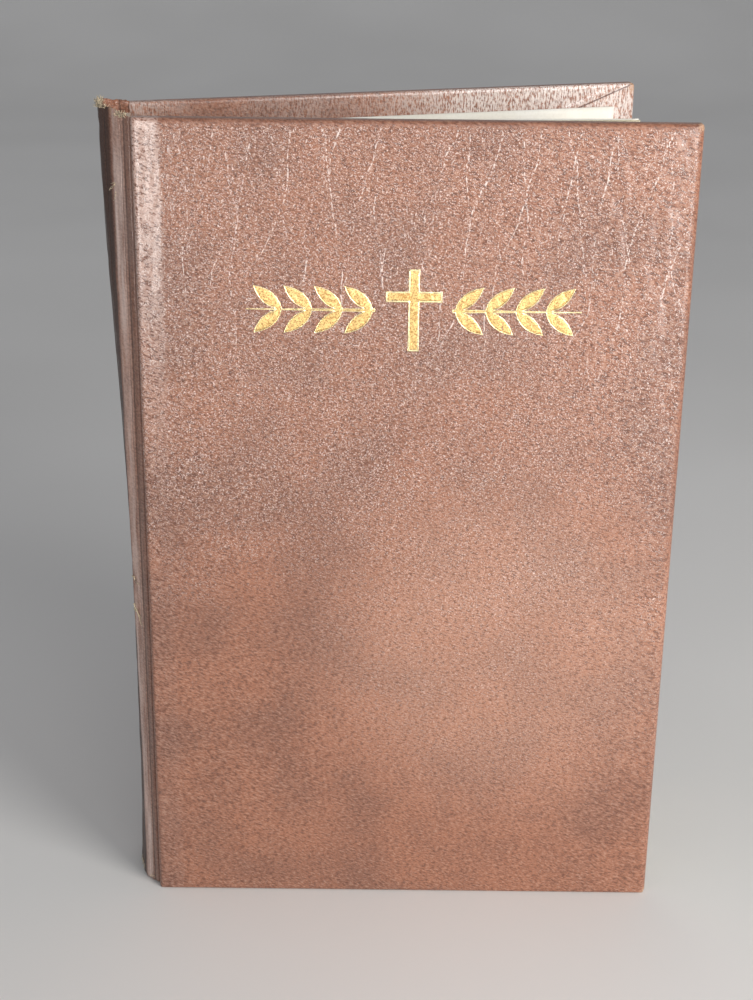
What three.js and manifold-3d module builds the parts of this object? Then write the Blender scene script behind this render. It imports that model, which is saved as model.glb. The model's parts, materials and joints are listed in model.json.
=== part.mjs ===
// A case-bound (hardback) devotional book standing on its tail edges, its covers opened in a narrow V.
// Millimetres. +Z is up, +X runs from the spine to the fore-edge, and the front cover faces -Y.
//
// The book is laid out closed, in the block frame: u runs from the spine to the fore-edge and v from the
// front cover (negative) to the back cover (positive), with v = 0 in the middle of the leaves. Every piece
// that moves hangs in a group on its own fold line, and the group is turned by the piece's share of the V.
import * as THREE from 'three';
import { mergeVertices } from 'three/addons/utils/BufferGeometryUtils.js';
import Module from 'manifold-3d';

const wasm = await Module();
wasm.setup();

// Driving dimensions
const COVER_HEIGHT = 216;
const COVER_WIDTH = 136.5;
const LEATHER = 0.6;
const TURN_IN = 0.5;
const TURN_IN_DEPTH = 15;
const BOARD = 2.3;
const PASTEDOWN = 0.2;
const PASTEDOWN_MARGIN = 6;
const GLUE_GAP = 0.1;
const EDGE_ROUNDING = 1.1;
const CORNER_RADIUS = 1;

const BLOCK_THICKNESS = 15;
const LEAF_WIDTH = 129;
const LEAF_HEIGHT = 207.4;
const SECTIONS = 12;
const SECTION_GAP = 0.12;
const SECTION_BACK = 0.55;
const SECTION_TAPER = 5;
const FLYLEAF = 0.25;
const FLYLEAF_SETBACK = 2.5;

const SPINE_WIDTH = 12;
const SPINE_LEAN = 11;
const SPINE_CROWN = 0.7;
const SPINE_INLAY = 0.6;
const SPINE_END_INSET = 0.5;
const BACK_CROWN = 1;
const BACK_START = 0.8;
const LINING = 0.25;
const BAND_RISE = 1.9;
const BAND_TAPE = 12;

const JOINT_END_INSET = 1;
const FOLD_CLEARANCE = 0.45;
const EDGE_OF_BOARD_FROM_FOLD = 0.9;

// The V: how far each cover is turned from closed, and how much of that turn the outermost leaves follow
const FRONT_OPENING = 1.2;
const BACK_OPENING = 15.8;
const LEAF_FOLLOW = 0.22;
const FLYLEAF_FOLLOW = 0.04;

const FOIL = 0.12;
const FOIL_GAP = 0.05;
const FOIL_CENTRE = { x: 68, z: 169.5 };
const CROSS = { height: 21, width: 14, bar: 2.8, armDrop: 7 };
const SPRAY = { start: 9.5, length: 32, stem: 1, leaves: 4, leaf: 9.5, leafWidth: 3.6, lean: 40 };

const rad = THREE.MathUtils.degToRad;

// Levels outwards from the block's middle plane, closed
const FLYLEAF_INSIDE = BLOCK_THICKNESS / 2 + 0.2;
const FLYLEAF_OUTSIDE = FLYLEAF_INSIDE + FLYLEAF;
const PASTEDOWN_INSIDE = FLYLEAF_OUTSIDE + 0.35;
const TURN_IN_INSIDE = PASTEDOWN_INSIDE + PASTEDOWN + GLUE_GAP;
const BOARD_INSIDE = TURN_IN_INSIDE + TURN_IN + GLUE_GAP;
const LEATHER_INSIDE = BOARD_INSIDE + BOARD + GLUE_GAP;
const COVER_OUTSIDE = LEATHER_INSIDE + LEATHER;

// Fold lines, closed. The spine leans, so the back ones lie nearer the spine than the front ones.
const FRONT_RIDGE = new THREE.Vector2(-2, -SPINE_WIDTH / 2);
const spineDirection = new THREE.Vector2(-Math.sin(rad(SPINE_LEAN)), Math.cos(rad(SPINE_LEAN)));
const BACK_RIDGE = FRONT_RIDGE.clone().addScaledVector(spineDirection, SPINE_WIDTH);
const JOINT = new THREE.Vector2(4.6, BOARD_INSIDE + GLUE_GAP - SPINE_WIDTH / 2);

const leather = material('#7a4638', 0.45);
const greyboard = material('#9b8f7e', 0.9);
const card = material('#b9ac94', 0.9);
const endpaper = material('#f4efe2', 0.85);
const leaves = material('#efe6c8', 0.9);
const gauze = material('#ded6c3', 0.95);
const bandCloth = material('#c9b27a', 0.8);
const gold = material('#d9ac4c', 0.3, 1);

function material(colour, roughness, metalness = 0) {
  return new THREE.MeshStandardMaterial({ color: colour, roughness, metalness });
}

function piece(name, geometry, itsMaterial) {
  const mesh = new THREE.Mesh(geometry, itsMaterial);
  mesh.name = name;
  return mesh;
}

// A prism standing on the outline, from one height to another
function upright(outline, low, high) {
  const geometry = new THREE.ExtrudeGeometry(new THREE.Shape(outline), {
    depth: high - low,
    bevelEnabled: false,
  });
  return geometry.translate(0, 0, low);
}

function rectangle(x0, y0, x1, y1) {
  return [[x0, y0], [x1, y0], [x1, y1], [x0, y1]].map(([x, y]) => new THREE.Vector2(x, y));
}

function solid(geometry) {
  const bare = geometry.clone();
  bare.deleteAttribute('normal');
  bare.deleteAttribute('uv');
  const merged = mergeVertices(bare, 1e-5);
  return new wasm.Manifold(new wasm.Mesh({
    numProp: 3,
    vertProperties: new Float32Array(merged.attributes.position.array),
    triVerts: new Uint32Array(merged.index.array),
  }));
}

function geometryOf(manifold) {
  const mesh = manifold.getMesh();
  const geometry = new THREE.BufferGeometry();
  geometry.setAttribute('position', new THREE.BufferAttribute(mesh.vertProperties, 3));
  geometry.setIndex(new THREE.BufferAttribute(mesh.triVerts, 1));
  geometry.computeVertexNormals();
  return geometry;
}

function cut(geometry, ...tools) {
  return geometryOf(tools.reduce((body, tool) => body.subtract(solid(tool)), solid(geometry)));
}

function joined(geometries) {
  return geometryOf(geometries.map(solid).reduce((body, next) => body.add(next)));
}

// A strip of even thickness along a line of points; negative offsets lie to the right of the line
function strip(line, near, far) {
  const side = (offset) => line.map((point, i) => {
    const before = line[Math.max(i - 1, 0)];
    const after = line[Math.min(i + 1, line.length - 1)];
    const along = after.clone().sub(before).normalize();
    return new THREE.Vector2(point.x - along.y * offset, point.y + along.x * offset);
  });
  return [...side(near), ...side(far).reverse()];
}

// --- Covers. Each is drawn around its board fold at the origin, with "out" +1 for outwards along +Y.

const coverLevel = (level, out) => out * (level - JOINT.y - SPINE_WIDTH / 2);
const coverEnd = EDGE_OF_BOARD_FROM_FOLD + COVER_WIDTH;
const boardStart = EDGE_OF_BOARD_FROM_FOLD + LEATHER + GLUE_GAP;
const boardEnd = coverEnd - LEATHER - GLUE_GAP;
const boardLow = LEATHER + GLUE_GAP;

function coverProfile(out) {
  const outside = coverLevel(COVER_OUTSIDE, out);
  const inside = coverLevel(TURN_IN_INSIDE, out);
  const foot = out * LEATHER / 2;
  const shape = new THREE.Shape();
  const round = EDGE_ROUNDING;
  const edge = EDGE_OF_BOARD_FROM_FOLD;
  shape.moveTo(FOLD_CLEARANCE, -foot);
  shape.lineTo(FOLD_CLEARANCE, foot);
  shape.lineTo(edge, foot);
  shape.lineTo(edge, outside - out * 2 * round);
  shape.quadraticCurveTo(edge, outside, edge + 2 * round, outside);
  shape.lineTo(coverEnd - round, outside);
  shape.quadraticCurveTo(coverEnd, outside, coverEnd, outside - out * round);
  shape.lineTo(coverEnd, inside);
  shape.lineTo(edge + LEATHER, inside);
  shape.lineTo(edge + LEATHER, -foot);
  return shape.getPoints(5);
}

// Rounds the two corners at the fore-edge, seen square on to the cover
function cornerCutter(out) {
  const outline = new THREE.Shape();
  const reach = COVER_WIDTH * 2;
  outline.moveTo(-reach, -reach);
  outline.lineTo(-reach, 0);
  outline.lineTo(coverEnd - CORNER_RADIUS, 0);
  outline.absarc(coverEnd - CORNER_RADIUS, CORNER_RADIUS, CORNER_RADIUS, -Math.PI / 2, 0);
  outline.lineTo(coverEnd, COVER_HEIGHT - CORNER_RADIUS);
  outline.absarc(coverEnd - CORNER_RADIUS, COVER_HEIGHT - CORNER_RADIUS, CORNER_RADIUS, 0, Math.PI / 2);
  outline.lineTo(-reach, COVER_HEIGHT);
  outline.lineTo(-reach, reach);
  outline.lineTo(reach, reach);
  outline.lineTo(reach, -reach);
  const geometry = new THREE.ExtrudeGeometry(outline, { depth: 40, bevelEnabled: false, curveSegments: 5 });
  return geometry.rotateX(Math.PI / 2).translate(0, 20, 0);
}

// The covering wraps the board's outer face and four edges, and turns in over the inner face
function coverLeather(out) {
  const sheet = upright(coverProfile(out), 0, COVER_HEIGHT);
  const boardRoom = upright(rectangle(
    boardStart - GLUE_GAP, coverLevel(BOARD_INSIDE - GLUE_GAP, out),
    boardEnd + GLUE_GAP, coverLevel(LEATHER_INSIDE, out),
  ), LEATHER, COVER_HEIGHT - LEATHER);
  const window = upright(rectangle(
    boardStart - GLUE_GAP, coverLevel(TURN_IN_INSIDE, out) - out,
    coverEnd - TURN_IN_DEPTH, coverLevel(BOARD_INSIDE, out),
  ), TURN_IN_DEPTH, COVER_HEIGHT - TURN_IN_DEPTH);
  return cut(sheet, boardRoom, window, cornerCutter(out));
}

function board(out) {
  return upright(rectangle(
    boardStart, coverLevel(BOARD_INSIDE, out),
    boardEnd, coverLevel(BOARD_INSIDE + BOARD, out),
  ), boardLow, COVER_HEIGHT - boardLow);
}

function pastedown(out) {
  return upright(rectangle(
    boardStart + 0.5, coverLevel(PASTEDOWN_INSIDE, out),
    coverEnd - PASTEDOWN_MARGIN, coverLevel(PASTEDOWN_INSIDE + PASTEDOWN, out),
  ), PASTEDOWN_MARGIN, COVER_HEIGHT - PASTEDOWN_MARGIN);
}

function cover(side, out) {
  const group = new THREE.Group();
  group.add(piece(`${side}_cover_leather`, coverLeather(out), leather));
  group.add(piece(`${side}_board`, board(out), greyboard));
  group.add(piece(`${side}_pastedown`, pastedown(out), endpaper));
  return group;
}

// --- Joints: the flexible strip between the spine's ridge and the board's fold, at the origin's ridge

function joint(side, out) {
  const fold = new THREE.Vector2(JOINT.x, out * JOINT.y);
  const along = fold.clone().normalize();
  const line = [
    along.clone().multiplyScalar(FOLD_CLEARANCE),
    fold.clone().addScaledVector(along, -FOLD_CLEARANCE),
  ];
  const inner = -out;
  const skin = strip(line, -LEATHER / 2, LEATHER / 2);
  const backing = strip(line, inner * (LEATHER / 2 + GLUE_GAP), inner * (LEATHER / 2 + GLUE_GAP + LINING));
  const group = new THREE.Group();
  group.add(piece(
    `${side}_joint_leather`,
    upright(skin, JOINT_END_INSET, COVER_HEIGHT - JOINT_END_INSET), leather,
  ));
  group.add(piece(
    `${side}_joint_gauze`,
    upright(backing, TURN_IN_DEPTH, COVER_HEIGHT - TURN_IN_DEPTH), gauze,
  ));
  return { group, fold };
}

// --- Spine: leather and card inlay, with a hollow between them and the backs of the sections

function crownedLine(inset) {
  const across = spineDirection;
  const outwards = new THREE.Vector2(-across.y, across.x);
  const steps = 10;
  return Array.from({ length: steps + 1 }, (_, i) => {
    const distance = inset + (SPINE_WIDTH - 2 * inset) * i / steps;
    const share = 2 * distance / SPINE_WIDTH - 1;
    return FRONT_RIDGE.clone()
      .addScaledVector(across, distance)
      .addScaledVector(outwards, SPINE_CROWN * (1 - share * share));
  });
}

// The rounded, leaning line along the backs of the sections
function backOfBlock(v) {
  const share = 2 * v / BLOCK_THICKNESS;
  return BACK_START + BACK_CROWN * share * share - v * Math.tan(rad(SPINE_LEAN));
}

function backLine(reach) {
  const steps = 10;
  return Array.from({ length: steps + 1 }, (_, i) => {
    const v = reach * (2 * i / steps - 1);
    return new THREE.Vector2(backOfBlock(v), v);
  });
}

function band(low, high, tapeLow, tapeHigh) {
  const reach = BLOCK_THICKNESS / 2 - 1.2;
  const tapeNear = SECTION_BACK / 2 + 3 * GLUE_GAP + 2 * LINING;
  const bead = upright(strip(backLine(reach), -0.9, tapeNear + 0.4), low, high);
  const tape = upright(strip(backLine(reach), tapeNear, tapeNear + 0.4), tapeLow, tapeHigh);
  return joined([bead, tape]);
}

function spine() {
  const group = new THREE.Group();
  const low = SPINE_END_INSET;
  const high = COVER_HEIGHT - SPINE_END_INSET;
  const leafLow = (COVER_HEIGHT - LEAF_HEIGHT) / 2;
  const leafHigh = COVER_HEIGHT - leafLow;
  const gauzeNear = SECTION_BACK / 2 + GLUE_GAP;
  const liningNear = gauzeNear + LINING + GLUE_GAP;
  const reach = BLOCK_THICKNESS / 2 - 0.9;
  const inlayNear = -LEATHER / 2 - GLUE_GAP;
  group.add(piece(
    'spine_leather',
    upright(strip(crownedLine(FOLD_CLEARANCE), -LEATHER / 2, LEATHER / 2), low, high), leather,
  ));
  group.add(piece(
    'spine_inlay',
    upright(strip(crownedLine(1), inlayNear, inlayNear - SPINE_INLAY), low + LEATHER, high - LEATHER), card,
  ));
  group.add(piece(
    'spine_gauze',
    upright(strip(backLine(reach), gauzeNear, gauzeNear + LINING), leafLow + 10, leafHigh - 10), gauze,
  ));
  group.add(piece(
    'spine_lining',
    upright(strip(backLine(reach), liningNear, liningNear + LINING), leafLow + 1, leafHigh - 1), card,
  ));
  const beadGap = 0.3;
  group.add(piece(
    'headband',
    band(leafHigh + beadGap, leafHigh + beadGap + BAND_RISE, leafHigh - BAND_TAPE, leafHigh + 1), bandCloth,
  ));
  group.add(piece(
    'tailband',
    band(leafLow - beadGap - BAND_RISE, leafLow - beadGap, leafLow - 1, leafLow + BAND_TAPE), bandCloth,
  ));
  return group;
}

// --- Leaves: sewn sections and the two flyleaves

// A section is pinched thin along its sewn back, and full thickness a few millimetres on
function section() {
  const pitch = BLOCK_THICKNESS / SECTIONS;
  const half = (pitch - SECTION_GAP) / 2;
  const back = SECTION_BACK / 2;
  const outline = new THREE.Shape();
  outline.absarc(0, 0, back, Math.PI / 2, 3 * Math.PI / 2);
  outline.lineTo(SECTION_TAPER, -half);
  outline.lineTo(LEAF_WIDTH, -half);
  outline.lineTo(LEAF_WIDTH, half);
  outline.lineTo(SECTION_TAPER, half);
  const low = (COVER_HEIGHT - LEAF_HEIGHT) / 2;
  return upright(outline.getPoints(3), low, low + LEAF_HEIGHT);
}

function sectionPlace(i) {
  const v = BLOCK_THICKNESS * ((i + 0.5) / SECTIONS - 0.5);
  return new THREE.Vector2(backOfBlock(v), v);
}

// From -1 at the front section to +1 at the back one: the share of its cover's turn that a section follows
const sectionShare = (i) => (2 * i - (SECTIONS - 1)) / (SECTIONS - 1);

function sectionTurn(i) {
  const share = sectionShare(i);
  return share * LEAF_FOLLOW * (share < 0 ? FRONT_OPENING : BACK_OPENING);
}

// A flyleaf is tipped onto the outer face of its section, a little way in from the fold, and turns there
function flyleaf(side, out, place, opening) {
  const low = (COVER_HEIGHT - LEAF_HEIGHT) / 2;
  const outline = rectangle(0, -FLYLEAF / 2, LEAF_WIDTH - FLYLEAF_SETBACK, FLYLEAF / 2);
  const hanger = new THREE.Group();
  hanger.position.set(FLYLEAF_SETBACK, out * (FLYLEAF_INSIDE + FLYLEAF / 2) - place.y, 0);
  hanger.rotation.z = rad(out * FLYLEAF_FOLLOW * opening);
  hanger.add(piece(`${side}_flyleaf`, upright(outline, low, low + LEAF_HEIGHT), endpaper));
  return hanger;
}

function leafBlock() {
  const group = new THREE.Group();
  for (let i = 0; i < SECTIONS; i += 1) {
    const place = sectionPlace(i);
    const hanger = new THREE.Group();
    hanger.position.set(place.x, place.y, 0);
    hanger.rotation.z = rad(sectionTurn(i));
    hanger.add(piece(`page_section_${String(i + 1).padStart(2, '0')}`, section(), leaves));
    if (i === 0) hanger.add(flyleaf('front', -1, place, FRONT_OPENING));
    if (i === SECTIONS - 1) hanger.add(flyleaf('back', 1, place, BACK_OPENING));
    group.add(hanger);
  }
  return group;
}

// --- Gold stamping on the front cover: a plain cross between two sprays of leaves

function stamped(outline) {
  const geometry = new THREE.ExtrudeGeometry(outline, { depth: FOIL, bevelEnabled: false, curveSegments: 6 });
  const outside = COVER_OUTSIDE - JOINT.y - SPINE_WIDTH / 2;
  return geometry.rotateX(Math.PI / 2).translate(
    EDGE_OF_BOARD_FROM_FOLD + FOIL_CENTRE.x, -outside - FOIL_GAP, FOIL_CENTRE.z,
  );
}

function crossOutline() {
  const half = CROSS.bar / 2;
  const arm = CROSS.width / 2;
  const top = CROSS.height / 2;
  const high = top - CROSS.armDrop + half;
  const low = high - CROSS.bar;
  const right = [[half, -top], [half, low], [arm, low], [arm, high], [half, high], [half, top]];
  const left = right.map(([x, z]) => [-x, z]).reverse();
  return new THREE.Shape([...right, ...left].map(([x, z]) => new THREE.Vector2(x, z)));
}

function leafOutline(side, start, up) {
  const lean = rad(SPRAY.lean);
  const along = new THREE.Vector2(side * Math.cos(lean), up * Math.sin(lean));
  const across = new THREE.Vector2(-along.y, along.x);
  const point = (s, t) => new THREE.Vector2(side * start, 0)
    .addScaledVector(along, s * SPRAY.leaf).addScaledVector(across, t * SPRAY.leafWidth);
  const outline = new THREE.Shape();
  const [foot, tip, bulge, belly] = [point(0, 0), point(1, 0), point(0.45, 0.95), point(0.45, -0.95)];
  outline.moveTo(foot.x, foot.y);
  outline.quadraticCurveTo(bulge.x, bulge.y, tip.x, tip.y);
  outline.quadraticCurveTo(belly.x, belly.y, foot.x, foot.y);
  return outline;
}

function spray(side) {
  const half = SPRAY.stem / 2;
  const end = SPRAY.start + SPRAY.length;
  const stem = new THREE.Shape([
    new THREE.Vector2(side * SPRAY.start, -half),
    new THREE.Vector2(side * end, -half / 3),
    new THREE.Vector2(side * end, half / 3),
    new THREE.Vector2(side * SPRAY.start, half),
  ]);
  const parts = [stamped(stem)];
  const step = (SPRAY.length - SPRAY.leaf) / (SPRAY.leaves - 1);
  for (let i = 0; i < SPRAY.leaves; i += 1) {
    for (const up of [-1, 1]) {
      parts.push(stamped(leafOutline(side, SPRAY.start + i * step + 0.5, up)));
    }
  }
  return joined(parts);
}

function stamping() {
  const group = new THREE.Group();
  group.add(piece('foil_cross', stamped(crossOutline()), gold));
  group.add(piece('foil_spray_left', spray(-1), gold));
  group.add(piece('foil_spray_right', spray(1), gold));
  return group;
}

// --- The whole book

function openedCover(side, out, ridge, opening) {
  const { group, fold } = joint(side, out);
  group.position.set(ridge.x, ridge.y, 0);
  group.rotation.z = rad(out * opening / 2);
  const panel = cover(side, out);
  panel.position.set(fold.x, fold.y, 0);
  panel.rotation.z = rad(out * opening / 2);
  if (side === 'front') panel.add(stamping());
  group.add(panel);
  return group;
}

const block = new THREE.Group();
block.add(spine());
block.add(leafBlock());
block.add(openedCover('front', -1, FRONT_RIDGE, FRONT_OPENING));
block.add(openedCover('back', 1, BACK_RIDGE, BACK_OPENING));
block.rotation.z = rad(FRONT_OPENING);

const book = new THREE.Group();
book.add(block);
book.updateMatrixWorld(true);
const box = new THREE.Box3().setFromObject(book, true);
const centre = box.getCenter(new THREE.Vector3());
book.position.set(-centre.x, -centre.y, -box.min.z);

export default book;
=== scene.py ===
"""The looks of a worn leatherette hardback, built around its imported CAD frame."""
import json
import math
import random

import bmesh
import bpy
import numpy as np
from mathutils import Matrix, Vector
from mathutils.geometry import delaunay_2d_cdt


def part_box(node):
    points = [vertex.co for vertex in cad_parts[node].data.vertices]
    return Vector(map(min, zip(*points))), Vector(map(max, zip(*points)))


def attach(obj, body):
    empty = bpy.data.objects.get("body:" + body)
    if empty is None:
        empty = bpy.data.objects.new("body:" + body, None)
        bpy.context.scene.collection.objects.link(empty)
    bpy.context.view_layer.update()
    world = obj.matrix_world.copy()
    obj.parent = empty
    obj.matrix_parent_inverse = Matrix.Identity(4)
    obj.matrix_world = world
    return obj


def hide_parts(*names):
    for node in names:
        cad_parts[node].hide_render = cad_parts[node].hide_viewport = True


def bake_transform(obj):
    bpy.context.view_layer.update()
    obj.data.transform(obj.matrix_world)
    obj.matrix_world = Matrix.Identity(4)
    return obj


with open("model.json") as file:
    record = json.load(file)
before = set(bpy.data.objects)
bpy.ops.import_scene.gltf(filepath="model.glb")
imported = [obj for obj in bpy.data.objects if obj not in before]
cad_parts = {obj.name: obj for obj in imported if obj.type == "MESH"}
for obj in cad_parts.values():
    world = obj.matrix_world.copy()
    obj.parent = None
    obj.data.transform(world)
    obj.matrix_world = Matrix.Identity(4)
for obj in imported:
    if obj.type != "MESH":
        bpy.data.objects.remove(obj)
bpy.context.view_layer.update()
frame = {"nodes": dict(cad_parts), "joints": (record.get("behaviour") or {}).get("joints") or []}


MM = 0.001
NODES = frame["nodes"]
JOINTS = {joint["name"]: joint for joint in frame["joints"]}


# ---------------------------------------------------------------- measures from the frame

COVER_LOW, COVER_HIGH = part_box("front_cover_leather")
HEIGHT = COVER_HIGH.z / MM
FOLD = Vector(JOINTS["front_cover_hinge"]["pos_m"])
FORE_X = (COVER_HIGH.x - FOLD.x) / MM
OUTSIDE = (FOLD.y - COVER_LOW.y) / MM
INSIDE = (FOLD.y - COVER_HIGH.y) / MM
LEAF_LOW, LEAF_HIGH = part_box("page_section_01")
LEAF_Z = (LEAF_LOW.z / MM, LEAF_HIGH.z / MM)


def angle_of(node):
    """The direction in plan, in radians, of a flat upright node's long side, pointing to the fore-edge."""
    plan = np.array([v.co[:2] for v in NODES[node].data.vertices])
    spread = plan - plan.mean(0)
    values, vectors = np.linalg.eigh(spread.T @ spread)
    along = vectors[:, -1]
    if along[0] < 0:
        along = -along
    return math.atan2(along[1], along[0])


class Plan:
    """A local frame: x along a leaf or cover from its fold, o outwards, z up, all in millimetres."""

    def __init__(self, origin, angle, out):
        self.origin, self.angle, self.out = origin, angle, out

    def world(self, points):
        """World places in metres for an array of places in this frame."""
        points = np.asarray(points, float)
        x, y, z = points[..., 0], points[..., 1] * self.out, points[..., 2]
        c, s = math.cos(self.angle), math.sin(self.angle)
        placed = np.stack([x * c - y * s, x * s + y * c, z], -1) * MM
        placed[..., 0] += self.origin[0]
        placed[..., 1] += self.origin[1]
        return placed

    def local(self, node):
        """The places of a node's points in this frame."""
        world = np.array([v.co for v in NODES[node].data.vertices]) / MM
        c, s = math.cos(self.angle), math.sin(self.angle)
        shift = world[:, :2] - np.array(self.origin[:2]) / MM
        x, o = shift[:, 0] * c + shift[:, 1] * s, (shift[:, 1] * c - shift[:, 0] * s) * self.out
        return x, o, world[:, 2]


FRONT = Plan(JOINTS["front_cover_hinge"]["pos_m"], angle_of("front_board"), -1)
BACK = Plan(JOINTS["back_cover_hinge"]["pos_m"], angle_of("back_board"), 1)
SIDES = {"front": FRONT, "back": BACK}


# ---------------------------------------------------------------- noise


def lattice(points, seed):
    """A repeatable random number from 0 to 1 at each whole point of an N x 3 array."""
    p = points.astype(np.int64)
    h = p[:, 0] * 374761393 + p[:, 1] * 668265263 + p[:, 2] * 2147483647 + seed * 974634777
    h = (h ^ (h >> 13)) * 1274126177
    h = h & 0x7FFFFFFF
    h = (h ^ (h >> 16)) & 0xFFFFFF
    return h / float(0xFFFFFF)


def value_noise(points, seed):
    """Smooth noise from -1 to 1 at each point of an N x 3 array."""
    base = np.floor(points)
    t = points - base
    t = t * t * (3 - 2 * t)
    total = np.zeros(len(points))
    for dx in (0, 1):
        for dy in (0, 1):
            for dz in (0, 1):
                weight = np.abs(1 - dx - t[:, 0]) * np.abs(1 - dy - t[:, 1]) * np.abs(1 - dz - t[:, 2])
                total += weight * lattice(base + (dx, dy, dz), seed)
    return total * 2 - 1


def fractal(points, seed, octaves):
    """Noise with finer and finer noise added to it."""
    total, size = np.zeros(len(points)), 1.0
    for octave in range(octaves):
        total += value_noise(points * 2 ** octave, seed + octave * 17) * size
        size *= 0.5
    return total


def planar_noise(x, z, scale, seed, octaves=3, stretch=1.0):
    """Noise over a sheet; scale is the size of a feature in millimetres, stretch lengthens it along z."""
    shape = x.shape
    points = np.stack([x.ravel() / scale, z.ravel() / (scale * stretch), np.full(x.size, 0.5)], 1)
    return fractal(points, seed, octaves).reshape(shape)


def smooth(low, high, value):
    """0 at low, 1 at high, and an even curve between."""
    t = np.clip((value - low) / (high - low), 0, 1)
    return t * t * (3 - 2 * t)


# ---------------------------------------------------------------- materials


class Nodes:
    """A short way to write a procedural material; sizes are in millimetres."""

    def __init__(self, name):
        self.material = bpy.data.materials.new(name)
        self.material.use_nodes = True
        self.tree = self.material.node_tree
        self.shader = self.tree.nodes["Principled BSDF"]

    def add(self, kind, inputs=None, **settings):
        node = self.tree.nodes.new(kind)
        for key, value in settings.items():
            setattr(node, key, value)
        for key, value in (inputs or {}).items():
            self.put(node.inputs[key], value)
        return node

    def put(self, socket, value):
        if isinstance(value, bpy.types.NodeSocket):
            self.tree.links.new(value, socket)
        else:
            socket.default_value = value

    def set(self, **values):
        for key, value in values.items():
            self.put(self.shader.inputs[key.replace("_", " ")], value)

    def rest(self):
        """Where a point is at rest, in millimetres."""
        place = self.add("ShaderNodeAttribute", attribute_name="rest_mm")
        return place.outputs["Vector"]

    def object_mm(self):
        """Where a point is on its object, in millimetres."""
        place = self.add("ShaderNodeTexCoord").outputs["Object"]
        return self.add("ShaderNodeVectorMath", {0: place, 3: 1000.0}, operation="SCALE").outputs[0]

    def stretched(self, vector, sizes, turn=0.0):
        """A place measured along turned axes, in units of the given sizes."""
        mapping = self.add("ShaderNodeMapping", {"Vector": vector}, vector_type="TEXTURE")
        mapping.inputs["Scale"].default_value = sizes
        mapping.inputs["Rotation"].default_value = (0, turn, 0)
        return mapping.outputs[0]

    def noise(self, vector, size, detail=3.0, roughness=0.55, distortion=0.0):
        node = self.add("ShaderNodeTexNoise", {
            "Vector": vector, "Scale": 1.0 / size, "Detail": detail,
            "Roughness": roughness, "Distortion": distortion,
        })
        return node.outputs["Fac"]

    def cells(self, vector, size):
        return self.add("ShaderNodeTexVoronoi", {"Vector": vector, "Scale": 1.0 / size}).outputs["Distance"]

    def ramp(self, value, low, high, a=0.0, b=1.0):
        node = self.add("ShaderNodeMapRange", {
            "Value": value, "From Min": low, "From Max": high, "To Min": a, "To Max": b,
        }, interpolation_type="SMOOTHSTEP")
        return node.outputs["Result"]

    def crests(self, value, width):
        """1 along the thin winding lines where a noise passes its middle value, falling to 0 beside them."""
        beside = self.math("ABSOLUTE", self.minus(value, 0.5))
        return self.ramp(beside, 0.0, width, 1.0, 0.0)

    def math(self, operation, a, b=0.0):
        node = self.add("ShaderNodeMath", {0: a, 1: b}, operation=operation)
        return node.outputs[0]

    def plus(self, a, b):
        return self.math("ADD", a, b)

    def minus(self, a, b):
        return self.math("SUBTRACT", a, b)

    def times(self, a, b):
        return self.math("MULTIPLY", a, b)

    def mix(self, factor, a, b):
        """Two colours mixed; a Mix node's colours are its inputs 6 and 7 and its output 2."""
        node = self.add("ShaderNodeMix", data_type="RGBA", blend_type="MIX")
        self.put(node.inputs[0], factor)
        self.put(node.inputs[6], a)
        self.put(node.inputs[7], b)
        return node.outputs[2]

    def bump(self, height, distance, strength):
        inputs = {"Height": height, "Distance": distance * MM, "Strength": strength}
        return self.add("ShaderNodeBump", inputs).outputs[0]

    def attribute(self, name):
        return self.add("ShaderNodeAttribute", attribute_name=name).outputs["Fac"]


def colour(red, green, blue):
    return (red, green, blue, 1.0)


def tinted(tone, share):
    """A tone made darker, or lighter where the share is above 1."""
    return colour(*[min(1.0, value * share) for value in tone])


DARK_DYE = colour(0.262, 0.116, 0.074)
RED_DYE = colour(0.370, 0.155, 0.090)
PORE_DYE = colour(0.110, 0.042, 0.026)
# Painted glints: the warm and the pale colours of light caught by the grain's crests and creases
PAINTED_WARM_GLINT = colour(0.66, 0.42, 0.31)
PAINTED_PALE_GLINT = colour(0.97, 0.81, 0.75)
# Painted highlight along the front cover's spine-side edge and on the front joint
PAINTED_HIGHLIGHT_TONE = colour(0.72, 0.56, 0.50)
FLAP_SHEEN = colour(0.84, 0.75, 0.70)
# Painted pool of light over the lower middle of the front cover
LIGHT_POOL_TONE = colour(0.62, 0.33, 0.22)
RAW_FIBRE = colour(0.50, 0.31, 0.20)
# Painted shade on the spine and in the joints' cracks
PAINTED_SHADE_TONE = colour(0.040, 0.019, 0.013)
# The mitre attribute on a seam itself, so that 0 stands for no seam
SEAM_MARK = 50.0


def cloudy_dye(m, place):
    """Brown dye sponged on in soft clouds."""
    clouds = m.noise(place, 26, detail=2.5, roughness=0.5)
    patches = m.noise(place, 9, detail=4, roughness=0.6, distortion=0.4)
    mottle = m.noise(place, 1.6, detail=5, roughness=0.7)
    dye = m.mix(m.ramp(clouds, 0.30, 0.62), DARK_DYE, RED_DYE)
    dye = m.mix(m.ramp(patches, 0.30, 0.56, 0.45, 0.0), dye, DARK_DYE)
    return m.mix(m.ramp(mottle, 0.34, 0.50, 0.35, 0.0), dye, PORE_DYE)


def curling_wrinkles(m, place):
    """Thin curling wrinkles, broken here and there: the grain of the upper part."""
    swirl = m.add("ShaderNodeTexNoise", {"Vector": place, "Scale": 1 / 1.3, "Detail": 1.0}).outputs["Color"]
    warped = m.add("ShaderNodeVectorMath", {0: place, 1: swirl}, operation="ADD").outputs[0]
    curls = m.crests(m.noise(warped, 0.42, detail=0.5, roughness=0.5), 0.085)
    return m.times(curls, m.ramp(m.noise(place, 0.42, detail=1.5), 0.44, 0.60))


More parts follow.
